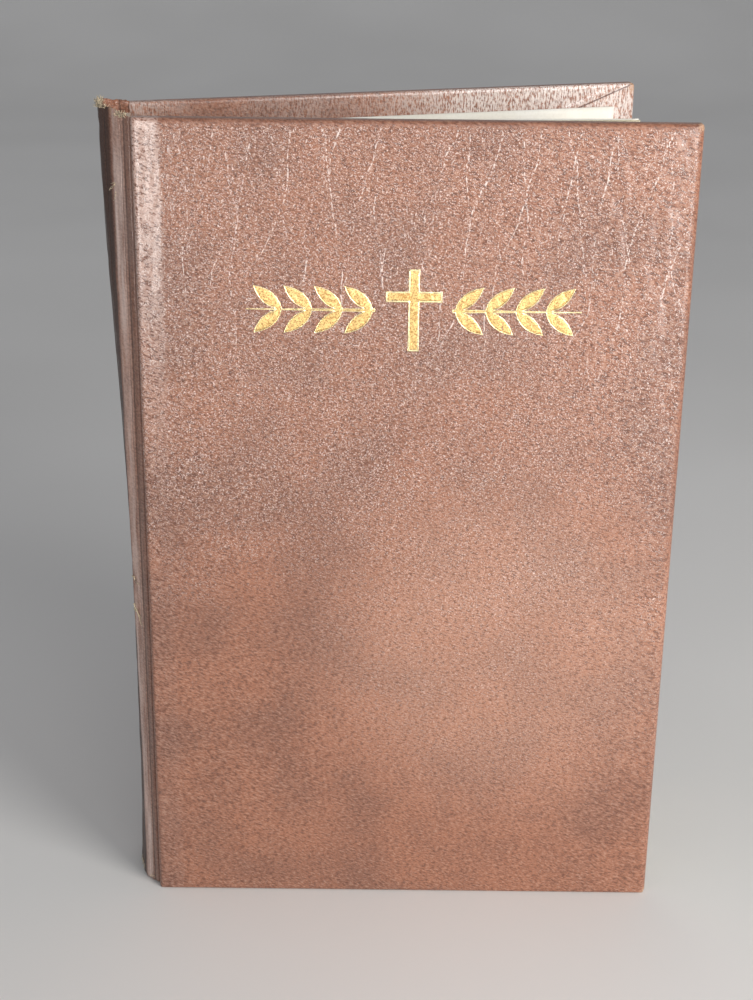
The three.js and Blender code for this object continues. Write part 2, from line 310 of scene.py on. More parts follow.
def crease_lines(m, place, spacing, slope, shift):
    """Long near-upright creases, this far apart and leaning, that wander a little, with painted glints in
    beads along them.
    """
    axes = m.add("ShaderNodeSeparateXYZ", {0: place}).outputs
    wander = m.noise(m.stretched(place, (26 + shift, 26, 44)), 1.0, detail=3.0, roughness=0.5)
    sideways = m.plus(axes[0], m.times(axes[2], slope))
    across = m.plus(m.times(sideways, 1 / spacing), m.times(wander, 17 / spacing))
    line = m.crests(m.math("FRACT", m.plus(across, shift)), 0.27 / spacing)
    beads = m.ramp(m.noise(m.stretched(place, (0.6, 0.6, 0.8)), 1.0, detail=1.5), 0.47, 0.58)
    run = m.ramp(m.noise(m.stretched(place, (6 + shift, 6, 18)), 1.0, detail=1.0), 0.42, 0.56)
    return m.times(line, m.times(beads, run))


def leather_grain(m, place, dye, upper, faded):
    """Dark hollows, and painted glints on the crests, warm and pale: the dye with the grain in it, and the
    grain's two patterns.
    """
    slanted = m.stretched(place, (1.15, 0.5, 0.42), turn=math.radians(20))
    strokes = m.noise(slanted, 1.0, detail=2.0, roughness=0.6)
    curls = curling_wrinkles(m, place)
    hollow = m.ramp(strokes, 0.36, 0.50, 0.62, 0.0)
    dye = m.mix(m.times(hollow, m.ramp(upper, 0.0, 1.0, 1.0, 1.35)), dye, PORE_DYE)
    crest = m.ramp(strokes, 0.52, 0.68)
    dye = m.mix(m.times(crest, m.ramp(upper, 0.0, 1.0, 0.30, 0.42)), dye, PAINTED_WARM_GLINT)
    # Painted glints on the curling wrinkles, stronger towards the head and in the painted pool of light
    pale = m.plus(m.ramp(upper, 0.0, 1.0, 0.06, 0.92), m.times(faded, 0.9))
    return m.mix(m.times(curls, pale), dye, PAINTED_PALE_GLINT), strokes, curls


def leather_material(name):
    """Bonded leather: cloudy dye, fine grain with dark hollows and painted glints on its crests, creases with
    painted glints along them, edges worn to raw fibre; with a painted pool of light, a painted highlight
    band, painted sheen on the turn-ins, and painted shade on the spine and in the joints.
    """
    m = Nodes(name)
    place = m.rest()
    crease, wear, shade, polish = [m.attribute(key) for key in ("crease", "wear", "shade", "polish")]
    flap, mitre, faded = [m.attribute(key) for key in ("flap", "mitre", "faded")]
    # Painted pool of light: the dye made paler over the lower middle of the front cover
    dye = m.mix(faded, cloudy_dye(m, place), LIGHT_POOL_TONE)
    # Painted glints grow stronger from the tail up to the head
    dye, strokes, curls = leather_grain(m, place, dye, m.ramp(crease, 0.05, 1.0), faded)
    lines = m.math("MAXIMUM", crease_lines(m, place, 10, -0.22, 0.0), crease_lines(m, place, 12, 0.12, 3.3))
    lines = m.times(lines, m.ramp(crease, 0.78, 1.0))
    # Painted glints in beads along the creases
    dye = m.mix(m.times(lines, 0.95), dye, PAINTED_PALE_GLINT)
    # Painted highlight, broken by the grain's pits, along the front cover's spine-side edge and on the front
    # joint
    pits = m.math("MAXIMUM", m.ramp(strokes, 0.40, 0.50), m.ramp(crease, 0.0, 0.03, 0.85, 0.0))
    dye = m.mix(m.times(polish, pits), dye, PAINTED_HIGHLIGHT_TONE)
    # Painted sheen in upright streaks on the turned-in flaps
    ribs = m.noise(m.stretched(place, (0.38, 0.38, 1.3)), 1.0, detail=2.0, roughness=0.6)
    dye = m.mix(m.times(flap, m.ramp(ribs, 0.36, 0.60)), dye, FLAP_SHEEN)
    seam = m.ramp(m.math("ABSOLUTE", m.minus(mitre, SEAM_MARK)), 0.10, 0.34, 1.0, 0.0)
    dye = m.mix(m.times(seam, 0.85), dye, PORE_DYE)
    fibre = m.noise(place, 0.4, detail=3, roughness=0.65)
    rub = m.ramp(m.plus(wear, m.times(m.minus(fibre, 0.5), 0.9)), 0.45, 0.80)
    dye = m.mix(m.times(rub, 0.85), dye, RAW_FIBRE)
    # Painted shade on the spine and in the joints' cracks
    dye = m.mix(shade, dye, m.mix(0.86, dye, PAINTED_SHADE_TONE))
    gloss = m.ramp(m.noise(place, 18, detail=3), 0.35, 0.65, 0.36, 0.44)
    rough = m.plus(m.plus(gloss, m.times(rub, 0.35)), m.times(shade, 0.35))
    height = m.plus(m.times(curls, 0.6), m.times(strokes, 0.9))
    height = m.plus(height, m.times(m.ramp(mitre, SEAM_MARK - 0.15, SEAM_MARK + 0.2), 1.5))
    height = m.plus(height, m.times(lines, 0.8))
    m.set(Base_Color=dye, Roughness=rough, Normal=m.bump(height, 0.12, 0.9), Specular_IOR_Level=0.30)
    m.set(Coat_Weight=0.5, Coat_Roughness=0.14, Coat_Normal=m.bump(height, 0.02, 0.8))
    return m.material


def paper_material(name, tone, shade, speck=0.25, lines=0.0):
    """Paper with a soft fibre, a little foxing, and leaf lines on cut edges where lines is above 0."""
    m = Nodes(name)
    place = m.object_mm()
    fibre = m.noise(place, 0.7, detail=5, roughness=0.7)
    cloud = m.noise(place, 24, detail=3)
    base = m.mix(m.ramp(cloud, 0.35, 0.65, 0.0, 0.7), colour(*tone), colour(*shade))
    base = m.mix(m.ramp(fibre, 0.45, 0.7, 0.0, speck), base, tinted(shade, 0.8))
    foxing = m.noise(place, 3.2, detail=2)
    base = m.mix(m.ramp(foxing, 0.70, 0.80, 0.0, 0.25), base, colour(0.55, 0.38, 0.20))
    if lines:
        stacked = m.stretched(place, (16.0, 0.11, 16.0))
        sheets = m.noise(stacked, 1.0, detail=3, roughness=0.8)
        base = m.mix(m.ramp(sheets, 0.42, 0.58, lines, 0.0), base, tinted(shade, 0.45))
    m.set(Base_Color=base, Roughness=m.ramp(fibre, 0.3, 0.7, 0.7, 0.9), Normal=m.bump(fibre, 0.03, 0.6))
    m.set(Specular_IOR_Level=0.3)
    return m.material


def board_material(name, tone):
    """Grey board or card: matted pulp with paler bits in it."""
    m = Nodes(name)
    place = m.object_mm()
    flock = m.noise(place, 0.5, detail=6, roughness=0.75)
    bits = m.cells(place, 1.1)
    base = m.mix(m.ramp(flock, 0.35, 0.68), tinted(tone, 0.62), colour(*tone))
    base = m.mix(m.ramp(bits, 0.0, 0.16, 0.6, 0.0), base, tinted(tone, 1.5))
    m.set(Base_Color=base, Roughness=m.ramp(flock, 0.3, 0.7, 0.8, 0.95), Normal=m.bump(flock, 0.08, 0.8))
    return m.material


def weave_material(name, tone, pitch):
    """Open cotton weave: threads over and under each other."""
    m = Nodes(name)
    place = m.object_mm()
    axes = m.add("ShaderNodeSeparateXYZ", {0: place}).outputs
    across = m.math("SINE", m.times(m.plus(axes[0], axes[1]), math.tau / pitch))
    up = m.math("SINE", m.times(axes[2], math.tau / pitch))
    thread = m.math("MAXIMUM", across, up)
    fuzz = m.noise(place, 0.2, detail=4)
    base = m.mix(m.ramp(thread, -0.2, 0.7), tinted(tone, 0.35), colour(*tone))
    base = m.mix(m.ramp(fuzz, 0.4, 0.7, 0.0, 0.4), base, tinted(tone, 1.25))
    m.set(Base_Color=base, Roughness=m.ramp(fuzz, 0.3, 0.7, 0.8, 0.95), Normal=m.bump(thread, 0.12, 0.9))
    m.set(Sheen_Weight=0.2)
    return m.material


def foil_material(name, bright):
    """Stamped gold leaf: broken up by the grain beneath it, or bright and whole along its outline."""
    m = Nodes(name)
    place = m.object_mm()
    grain = m.noise(place, 0.34, detail=3, roughness=0.7)
    flakes = m.cells(place, 0.45)
    gold, deep = colour(0.86, 0.62, 0.27), colour(0.42, 0.22, 0.07)
    if bright:
        base = m.mix(m.ramp(grain, 0.34, 0.5, 0.35, 0.0), colour(1.0, 0.86, 0.52), gold)
        rough, distance = m.ramp(grain, 0.3, 0.7, 0.16, 0.34), 0.02
    else:
        base = m.mix(m.ramp(grain, 0.40, 0.56), deep, gold)
        base = m.mix(m.ramp(flakes, 0.05, 0.16, 0.7, 0.0), base, colour(1.0, 0.85, 0.5))
        rough, distance = m.ramp(grain, 0.35, 0.65, 0.55, 0.28), 0.10
    m.set(Base_Color=base, Roughness=rough, Normal=m.bump(grain, distance, 0.9))
    m.set(Metallic=1.0)
    return m.material


def thread_material(name, one, other, pitch):
    """Silk threads wound over a core, in bands of two colours along the bead."""
    m = Nodes(name)
    place = m.object_mm()
    axes = m.add("ShaderNodeSeparateXYZ", {0: place}).outputs
    turn = m.plus(m.times(axes[1], math.tau / pitch), m.times(axes[2], 1.2))
    bands = m.ramp(m.math("SINE", turn), -0.15, 0.15)
    strand = m.noise(m.stretched(place, (0.17, 0.17, 1.0)), 0.6, detail=3)
    base = m.mix(bands, colour(*one), colour(*other))
    base = m.mix(m.ramp(strand, 0.4, 0.65, 0.0, 0.45), base, tinted(one, 0.55))
    m.set(Base_Color=base, Roughness=m.ramp(strand, 0.3, 0.7, 0.5, 0.75), Normal=m.bump(strand, 0.06, 0.8))
    m.set(Sheen_Weight=0.3)
    return m.material


LEATHER = leather_material("leatherette")
ENDPAPER = paper_material("endpaper", (0.88, 0.86, 0.80), (0.80, 0.76, 0.66))
LEAVES = paper_material("leaves", (0.80, 0.74, 0.56), (0.72, 0.63, 0.43), speck=0.3, lines=0.45)
GREYBOARD = board_material("greyboard", (0.34, 0.29, 0.23))
CARD = board_material("spine_card", (0.52, 0.44, 0.33))
MULL = weave_material("mull", (0.72, 0.66, 0.52), 0.9)
FIBRE = weave_material("frayed_fibre", (0.95, 0.76, 0.52), 0.4)
SILK = thread_material("band_silk", (0.72, 0.62, 0.42), (0.36, 0.15, 0.09), 1.5)
GOLD_FILL = foil_material("foil_fill", False)
GOLD_LINE = foil_material("foil_outline", True)


# ---------------------------------------------------------------- mesh building


def added(name, data):
    """A new object in the scene."""
    item = bpy.data.objects.new(name, data)
    bpy.context.scene.collection.objects.link(item)
    return item


def new_piece(name, points, faces, material, slot, floats=None):
    """A smooth mesh piece from world points in metres, closed, with its faces turned outwards."""
    mesh = bpy.data.meshes.new(name)
    mesh.from_pydata([tuple(p) for p in points], [], faces)
    for label, values in (floats or {}).items():
        attribute = mesh.attributes.new(label, "FLOAT", "POINT")
        attribute.data.foreach_set("value", np.asarray(values, np.float32).ravel())
    work = bmesh.new()
    work.from_mesh(mesh)
    bmesh.ops.recalc_face_normals(work, faces=work.faces)
    work.to_mesh(mesh)
    work.free()
    rest = mesh.attributes.new("rest_mm", "FLOAT_VECTOR", "POINT")
    places = np.zeros(len(mesh.vertices) * 3, np.float32)
    mesh.vertices.foreach_get("co", places)
    rest.data.foreach_set("vector", places / MM)
    for polygon in mesh.polygons:
        polygon.use_smooth = True
    mesh.materials.append(material)
    piece = added(name, mesh)
    return piece


def joined(parts):
    """The points and faces of several parts as one."""
    points, faces, total = [], [], 0
    for part_points, part_faces in parts:
        points.append(part_points)
        faces += [[i + total for i in face] for face in part_faces]
        total += len(part_points)
    return np.concatenate(points), faces


def wall(one, other):
    """Faces between two loops of point numbers."""
    return np.stack([one, np.roll(one, -1), np.roll(other, -1), other], -1).tolist()


def grid_faces(rows, columns, offset=0):
    """The faces of a grid of points numbered row by row."""
    index = np.arange(rows * columns).reshape(rows, columns) + offset
    a, b, c, d = index[:-1, :-1], index[1:, :-1], index[1:, 1:], index[:-1, 1:]
    return np.stack([a, b, c, d], -1).reshape(-1, 4).tolist()


def rim(rows, columns):
    """The grid's outline, once round."""
    index = np.arange(rows * columns).reshape(rows, columns)
    return np.concatenate([index[:-1, 0], index[-1, :-1], index[:0:-1, -1], index[0, :0:-1]])


def closed_sheet(top, bottom, between=()):
    """Points and faces of a closed sheet: two grids of points with rows of points between their outlines."""
    rows, columns = top.shape[:2]
    top, bottom, ring, size = top.reshape(-1, 3), bottom.reshape(-1, 3), rim(rows, columns), rows * columns
    points, loops = [top, bottom], [ring]
    faces = grid_faces(rows, columns) + grid_faces(rows, columns, size)
    start = 2 * size
    for share in between:
        points.append(top[ring] * (1 - share) + bottom[ring] * share)
        loops.append(np.arange(len(ring)) + start)
        start += len(ring)
    loops.append(ring + size)
    for one, other in zip(loops, loops[1:]):
        faces += wall(one, other)
    return np.concatenate(points), faces


def stations(low, high, step, low_round=0.0, high_round=0.0, turns=6):
    """Places along a side: evenly spaced, and closer where a rounded edge turns away."""
    bend = 1 - np.cos(np.linspace(0, math.pi / 2, turns))
    start = low + low_round * bend
    end = (high - high_round * bend)[::-1]
    count = max(2, int(round((end[0] - start[-1]) / step)) + 1)
    middle = np.linspace(start[-1], end[0], count)
    return np.concatenate([start[:-1] if low_round else [], middle, end[1:] if high_round else []])


def quarter_drop(distance, radius):
    """How far a rounded edge has dropped at a distance in from the outline."""
    inside = np.clip(radius - distance, 0, radius)
    return radius - np.sqrt(np.maximum(radius ** 2 - inside ** 2, 0))


def round_corners(x, z, box, radius):
    """Draws the square corners of a sheet's grid onto round ones."""
    x0, x1, z0, z1 = box
    for cx, sx in ((x0 + radius[0], -1), (x1 - radius[1], 1)):
        r = radius[0] if sx < 0 else radius[1]
        for cz, sz in ((z0 + r, -1), (z1 - r, 1)):
            dx, dz = (x - cx) * sx, (z - cz) * sz
            zone = (dx > 0) & (dz > 0)
            length = np.hypot(dx, dz)
            scale = np.where(zone, np.maximum(dx, dz) / np.maximum(length, 1e-9), 1)
            x = np.where(zone, cx + sx * dx * scale, x)
            z = np.where(zone, cz + sz * dz * scale, z)
    return x, z


# ---------------------------------------------------------------- covers

# Millimetres; the box is a cover's reach in its own plan, x0, x1, z0, z1
SKIN = 0.6
TURN_IN = 15.0
MITRE_SLOPE = 0.38
COVER_BOX = (0.45, FORE_X, 0.0, HEIGHT)
FORE_EDGE_ROUND, OTHER_EDGE_ROUND = 1.8, 1.1
SPINE_CORNER, FORE_CORNER = 0.6, 1.0
FRONT_SEED, BACK_SEED = 11, 57


def fan(x, z):
    """Creases spread like a fan from below the stamping: this is how far round the fan a point is."""
    return (x - 62.0) * (1.0 + 0.0022 * (z - 160.0))


def cover_height(x, z, seed):
    """How far the worn leather stands off its flat plane, in millimetres: mostly slight hollows."""
    upper = smooth(95, 175, z + 10 * planar_noise(x, z, 38, seed + 1, 2))
    wide = planar_noise(x, z, 34, seed + 2, 2) * 0.075
    folds = np.abs(planar_noise(fan(x, z), z, 2.6, seed + 3, 2, stretch=6.5))
    folds = (1 - smooth(0.0, 0.42, folds)) * 0.085 * (0.25 + 0.75 * upper)
    slant = np.abs(planar_noise(x + 0.55 * z, z - 0.35 * x, 3.2, seed + 4, 2, stretch=2.2))
    slant = (1 - smooth(0.0, 0.35, slant)) * 0.045
    fine = planar_noise(x, z, 1.5, seed + 5, 2) * 0.028
    return wide + fine - folds - slant - 0.05


def cover_crease_and_glint(x, z, seed):
    """How strong the grain, the creases and their painted glints are: least at the tail, most at the head."""
    upper = smooth(10, 205, z + 12 * planar_noise(x, z, 30, seed + 6, 3))
    return np.clip(0.04 + 0.96 * upper + 0.14 * planar_noise(x, z, 14, seed + 7, 3), 0, 1)


def edge_gaps(x, z):
    """How far a place on a cover is from its nearer upright edge, and from its nearer end."""
    x0, x1, z0, z1 = COVER_BOX
    return np.minimum(x - x0, x1 - x), np.minimum(z - z0, z1 - z)


def edge_wear(x, z, seed):
    """Rubbing at the corners of the fore-edge, and here and there along the edges, 0 to 1."""
    near_z = edge_gaps(x, z)[1]
    spots = planar_noise(x, z, 4, seed + 8, 3)
    from_corner = np.hypot(np.maximum(FORE_X - x, 0), np.maximum(near_z, 0))
    corner = smooth(4.0, 0.6, from_corner + 1.6 * spots) * 0.8
    edge = smooth(0.9, 0.0, np.minimum(FORE_X - x, near_z)) * (0.16 + 0.35 * spots)
    return np.clip(np.maximum(corner, edge), 0, 1)


def rounded_fall(x, z):
    """The level of a cover's outside, rounded at its four edges and rolling off towards the spine."""
    x0, x1, z0, z1 = COVER_BOX
    tipped, dropped = 6.4 - (x - x0), 9.0 - (x1 - x)
    fall = OUTSIDE - quarter_drop(x - x0, OTHER_EDGE_ROUND) - 0.048 * (np.sqrt(tipped ** 2 + 0.3) + tipped)
    fall = np.minimum(fall, OUTSIDE - quarter_drop(x1 - x, FORE_EDGE_ROUND))
    fall -= 0.012 * (np.sqrt(dropped ** 2 + 2.0) + dropped)
    for gap in (z - z0, z1 - z):
        fall = np.minimum(fall, OUTSIDE - quarter_drop(gap, OTHER_EDGE_ROUND))
    return fall


def greyboard(side):
    """The stiff board inside a cover, worn round with the leather over it."""
    x0, x1, z0, z1 = COVER_BOX
    margin, under = SKIN + 0.05, -0.04
    xs = stations(x0 + margin, x1 - margin, 4.0, 1.6, 0.6)
    zs = stations(z0 + margin, z1 - margin, 4.0, 0.6, 0.6)
    x, z = np.meshgrid(xs, zs, indexing="ij")
    top = rounded_fall(x, z) - SKIN - 0.2 * smooth(3.0, 0.6, np.minimum(x - x0, x1 - x))
    x, z = round_corners(x, z, (xs[0], xs[-1], zs[0], zs[-1]), (SPINE_CORNER, SPINE_CORNER))
    upper = np.stack([x, np.maximum(top, under + 0.3), z], -1)
    points, faces = closed_sheet(upper, np.stack([x, 0 * x + under, z], -1))
    piece = new_piece(side + "_greyboard", SIDES[side].world(points), faces, GREYBOARD, "greyboard")
    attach(piece, side + "_cover")
    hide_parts(side + "_board")


def inset(edge, depth, level):
    """A cover's outline drawn in by so many millimetres and laid at a level."""
    loop = edge.copy()
    for axis, low, high in ((0, *COVER_BOX[:2]), (2, *COVER_BOX[2:])):
        centre, half = (low + high) / 2, (high - low) / 2
        loop[:, axis] = centre + (edge[:, axis] - centre) * ((half - depth) / half)
    loop[:, 1] = level
    return loop


def turn_in_loops(edge, seed):
    """The turned-in border, ring by ring: a lip along each mitre, a slight swell, and a thin torn edge."""
    rough = planar_noise(edge[:, 0] * 2, edge[:, 2] * 2, 3.0, seed + 9, 2)
    loops = []
    for depth in np.linspace(1.2, TURN_IN, 15):
        loop = inset(edge, depth, INSIDE)
        near_x, near_z = edge_gaps(loop[:, 0], loop[:, 2])
        seam = (near_x * MITRE_SLOPE - near_z) * 0.94 + 0.20 * rough
        lip = 0.20 * np.exp(-((seam - 0.7) / 0.5) ** 2) - 0.24 * np.exp(-(seam / 0.30) ** 2)
        swell = 0.07 * planar_noise(loop[:, 0], loop[:, 2], 5.5, 41, 2)
        loop[:, 1] -= (lip + swell) * smooth(1.0, 2.5, depth) * smooth(TURN_IN + 0.2, TURN_IN - 1.2, depth)
        if depth > TURN_IN - 0.8:
            loop[:, 1] += 0.25
        loops.append(loop)
    return loops


def cover_loops(edge, seed):
    """The outlines that carry a cover's skin on from its face: over the edge, in, and back under itself."""
    over = [(0, level) for level in np.linspace(edge[:, 1].min(), INSIDE + 0.5, 4)]
    over += [(0.15, INSIDE + 0.15), (0.5, INSIDE)]
    under = [(TURN_IN, -0.1), (TURN_IN / 2, -0.1), (SKIN, -0.1), (SKIN, 0.6), (2.6, 1.9)]
    loops = [inset(edge, *step) for step in over] + turn_in_loops(edge, seed)
    return loops + [inset(edge, *step) for step in under]


def cover_floats(points, seed):
    """What the leather needs to know at each point of a cover."""
    x, z, inside = points[:, 0], points[:, 2], points[:, 1] < 0
    near_x, near_z = edge_gaps(x, z)
    smoothed = smooth(0.3, 2.4, np.minimum(near_z, FORE_X - x))
    # A band along the spine-side edge that carries a painted highlight, strongest at the head
    highlight_band = smooth(7.4, 6.2, x - COVER_BOX[0] + 0.7 * planar_noise(x, z, 3.0, seed + 12, 2))
    # Painted sheen on the turn-ins, stronger towards the fore-edge
    flap = 0.16 + 0.66 * smooth(15, 105, x) + 0.35 * planar_noise(x, z, 22, seed + 13, 2)
    # Painted pool of light, centred over the lower middle of the cover
    from_light_pool = np.hypot((x - 97) / 66, (z - 76) / 62)
    mitred = inside & (x > COVER_BOX[0] + 40)
    return {
        "wear": edge_wear(x, z, seed),
        # Strength of the grain, the creases and the painted glints on them
        "crease": np.where(inside, 0.25, cover_crease_and_glint(x, z, seed) * (0.2 + 0.8 * smoothed)),
        "polish": np.where(inside, 0.0, highlight_band * (0.04 + 0.46 * smooth(110, 215, z))),
        "flap": np.where(inside, np.clip(flap, 0.05, 0.85), 0.0),
        "mitre": np.where(mitred, SEAM_MARK + near_z - MITRE_SLOPE * near_x, 0.0),
        "faded": np.where(inside, 0.0, 0.34 * smooth(1.0, 0.35, from_light_pool)),
    }


def cover_skin(side, seed, step):
    """A cover's leather: face, rounded edges and turn-ins in one hollow skin round the board."""
    xs = stations(*COVER_BOX[:2], step, OTHER_EDGE_ROUND, FORE_EDGE_ROUND)
    zs = stations(*COVER_BOX[2:], step, OTHER_EDGE_ROUND, OTHER_EDGE_ROUND)
    x, z = np.meshgrid(xs, zs, indexing="ij")
    fall = rounded_fall(x, z)
    x, z = round_corners(x, z, COVER_BOX, (SPINE_CORNER, FORE_CORNER))
    inner = smooth(0.4, 4.0, np.minimum(*edge_gaps(x, z)))
    fall = fall + cover_height(x, z, seed) * (0.15 + 0.85 * inner)
    face = np.stack([x, fall, z], -1).reshape(-1, 3)
    last = rim(*x.shape)
    loops = cover_loops(face[last], seed)
    faces, start = grid_faces(*x.shape), len(face)
    for loop in loops:
        now = np.arange(len(loop)) + start
        faces += wall(last, now)
        start, last = start + len(loop), now
    faces.append(last.tolist())
    points = np.concatenate([face] + loops)
    floats = cover_floats(points, seed)
    piece = new_piece(side + "_cover_skin", SIDES[side].world(points), faces, LEATHER, "leather", floats)
    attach(piece, side + "_cover")
    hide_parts(side + "_cover_leather")


cover_skin("front", FRONT_SEED, 0.6)
cover_skin("back", BACK_SEED, 0.75)
greyboard("front")
greyboard("back")


# ---------------------------------------------------------------- spine and joints


class Line:
    """A line in plan, in millimetres, walked by its length, with its outward side known."""

    def __init__(self, points, outward):
        self.points = np.asarray(points, float)
        steps = np.hypot(*np.diff(self.points, axis=0).T)
        self.at = np.concatenate([[0], np.cumsum(steps)])
        self.length = self.at[-1]
        self.outward = np.asarray(outward, float)

    def place(self, s):
        return np.stack([np.interp(s, self.at, self.points[:, i]) for i in (0, 1)], -1)

    def normal(self, s):
        ahead, behind = self.place(s + 0.05), self.place(s - 0.05)
        along = (ahead - behind) / np.linalg.norm(ahead - behind, axis=-1, keepdims=True)
        across = np.stack([-along[..., 1], along[..., 0]], -1)
        return across * np.sign(across @ self.outward)[..., None]


def mm_point(joint):
    return np.array(JOINTS[joint]["pos_m"][:2]) / MM


def rounded(points, radius=1.0, turns=5):
    """A polyline with each inner corner rounded."""
    points = [np.asarray(p, float) for p in points]
    out = [points[0]]
    for before, here, after in zip(points, points[1:], points[2:]):
        a, b = before - here, after - here
        reach = min(radius, np.linalg.norm(a) * 0.45, np.linalg.norm(b) * 0.45)
        start = here + a / np.linalg.norm(a) * reach
        end = here + b / np.linalg.norm(b) * reach
        for t in np.linspace(0, 1, turns):
            out.append(start * (1 - t) ** 2 + here * 2 * t * (1 - t) + end * t ** 2)
    out.append(points[-1])
    return out


def spine_line():
    """The middle of the leather from the back board's edge round the spine to the front board's edge."""
    leather = np.array([v.co[:2] for v in NODES["spine_leather"].data.vertices]) / MM
    front, back = mm_point("front_joint_fold"), mm_point("back_joint_fold")
    along = (back - front) / np.linalg.norm(back - front)
    rank = (leather - front) @ along
    crown = []
    for low in np.arange(1.2, np.linalg.norm(back - front) - 0.6, 1.0):
        near = leather[np.abs(rank - low) < 0.9]
        if len(near):
            crown.append(near.mean(0))
    crown.sort(key=lambda p: (p - front) @ along)
    front_end, back_end = [plan.world([0.75, 0.0, 0.0])[:2] / MM for plan in (FRONT, BACK)]
    front_fold, back_fold = mm_point("front_cover_hinge"), mm_point("back_cover_hinge")
    points = [front_end, front_fold, front] + crown + [back, back_fold, back_end]
    return Line(rounded(points, 1.3), outward=(-1.0, 0.0))


LINE = spine_line()


def along_line(point):
    """How far along the spine line a plan point in millimetres lies."""
    s = np.linspace(0, LINE.length, 800)
    return s[np.argmin(np.linalg.norm(LINE.place(s) - point, axis=1))]


RIDGE = {side: along_line(mm_point(side + "_joint_fold")) for side in SIDES}
FOLD_AT = {side: along_line(mm_point(side + "_cover_hinge")) for side in SIDES}
MID_JOINT = {side: (RIDGE[side] + FOLD_AT[side]) / 2 for side in SIDES}
INWARD = {side: 1 if RIDGE[side] > FOLD_AT[side] else -1 for side in SIDES}
SPINE_CUT = {side: RIDGE[side] + INWARD[side] * 2.2 for side in SIDES}
SKIN_LOW, SKIN_HIGH = 0.2, HEIGHT - 0.1


def spine_relief(s, z):
    """Creases and hollows of the spine's leather, in millimetres outwards."""
    folds = np.abs(planar_noise(s, z, 1.5, 71, 2, stretch=9))
    folds = -(1 - smooth(0, 0.4, folds)) * 0.10
    ribs = planar_noise(s, z, 16, 72, 2) * 0.10
    ends = smooth(14, 0, np.minimum(z - SKIN_LOW, SKIN_HIGH - z))
    return folds + ribs + ends * planar_noise(s, z, 4, 73, 2) * 0.22


def lean(s, z):
    """How far the loose spine has been pulled forward along x, in millimetres: back at its head, in below."""
    share = z / HEIGHT
    far = 2.25 - 4.2 * smooth(0.36, 1.02, share) ** 1.15 - 0.85 * smooth(0.12, 0.0, share)
    ridge = 1.25 - 1.1 * smooth(0.10, 0.75, share)
    start, turn, end = FOLD_AT["front"], RIDGE["front"], RIDGE["back"]
    places = [start, turn, turn + 4.0, end, FOLD_AT["back"]]
    return ridge * np.interp(s, places, [0, 1, 0, 0, 0]) + far * np.interp(s, places, [0, 0, 1, 0.8, 0])


def head_rise(s):
    """How far the pulled leather stands above the covers at the head, in millimetres."""
    places = [FOLD_AT["front"], RIDGE["front"], RIDGE["back"], FOLD_AT["back"]]
    return np.interp(s, places, [-0.1, 1.5, 1.7, 0.7])


def past_crack(side, s, z):
    """How far a place is from the crack that runs up a joint, in millimetres, towards the spine."""
    crack = 1.7 + 0.12 * planar_noise(z, z * 0, 11, 77, 2)
    return INWARD[side] * (s - FOLD_AT[side]) - crack


def joint_groove(s, z):
    """The crack pressed into the joint beside the board, in millimetres outwards."""
    return -sum(0.34 * np.exp(-(past_crack(side, s, z) / 0.24) ** 2) for side in SIDES)


def joint_shade(s, z):
    """Painted shade in each joint's crack and in the hollow between it and the board."""
    shade = 0 * s
    for side in SIDES:
        past = past_crack(side, s, z)
        hollow = smooth(0.3, -0.1, past) * smooth(-2.6, -1.2, past)
        shade = np.maximum(shade, np.maximum(0.95 * np.exp(-(past / 0.24) ** 2), 0.30 * hollow))
    return shade


def spine_points(s, z, offset):
    """Places round the spine, in millimetres, at so much outwards from the middle of its leather."""
    place, normal = LINE.place(s), LINE.normal(s)
    free = smooth(0.8, 4.0, np.minimum(s, LINE.length - s))
    out = offset + (spine_relief(s, z) + joint_groove(s, z)) * free
    plan = place + normal * out[..., None]
    return np.stack([plan[..., 0] + lean(s, z), plan[..., 1], z], -1)


def spine_sheet(name, s_from, s_to, offsets=(0.3, -0.3), material=LEATHER, slot="leather", z_range=None):
    """A closed strip round the spine between two places along the line: its leather, or what lines it."""
    count = max(6, int(abs(s_to - s_from) / 0.35) + 1)
    rows = np.linspace(0, 1, 260)
    s, t = np.meshgrid(np.linspace(s_from, s_to, count), rows, indexing="ij")
    top = SKIN_HIGH + head_rise(s) - 0.45 * np.abs(planar_noise(s, s * 0, 1.3, 74, 3))
    low = SKIN_LOW + 0.1 + 0.35 * np.abs(planar_noise(s, s * 0 + 9, 1.5, 75, 3))
    if z_range:
        low, top = 0 * s + z_range[0], 0 * s + z_range[1]
    z = low + (top - low) * t
    outer, inner = spine_points(s, z, 0 * s + offsets[0]), spine_points(s, z, 0 * s + offsets[1])
    points, faces = closed_sheet(outer, inner, between=(0.5,))
    ring = rim(*s.shape)
    shade = np.maximum(spine_shade(s), joint_shade(s, z))
    grids = {"wear": spine_wear(s, z), "shade": shade, "polish": joint_highlight(s, z)}
    floats = {key: np.concatenate([v.ravel(), v.ravel(), v.ravel()[ring]]) for key, v in grids.items()}
    floats["wear"][-len(ring):] = 0.95
    return new_piece(name, points * MM, faces, material, slot, floats)


def joint_highlight(s, z):
    """A painted highlight along the front joint, brightest beside its ridge."""
    past = (RIDGE["front"] - s) * INWARD["front"]
    highlight_band = smooth(-0.3, 0.4, past) * (0.25 + 0.75 * smooth(4.4, 1.4, past))
    folds = planar_noise(s, z, 1.2, 78, 3, stretch=14)
    return np.clip(highlight_band * (0.62 + 0.6 * folds), 0, 1)


def spine_shade(s):
    """Painted shade on the spine, between the two ridges."""
    within = np.minimum(INWARD["front"] * (s - RIDGE["front"]), INWARD["back"] * (s - RIDGE["back"]))
    return smooth(0.1, 1.1, within)


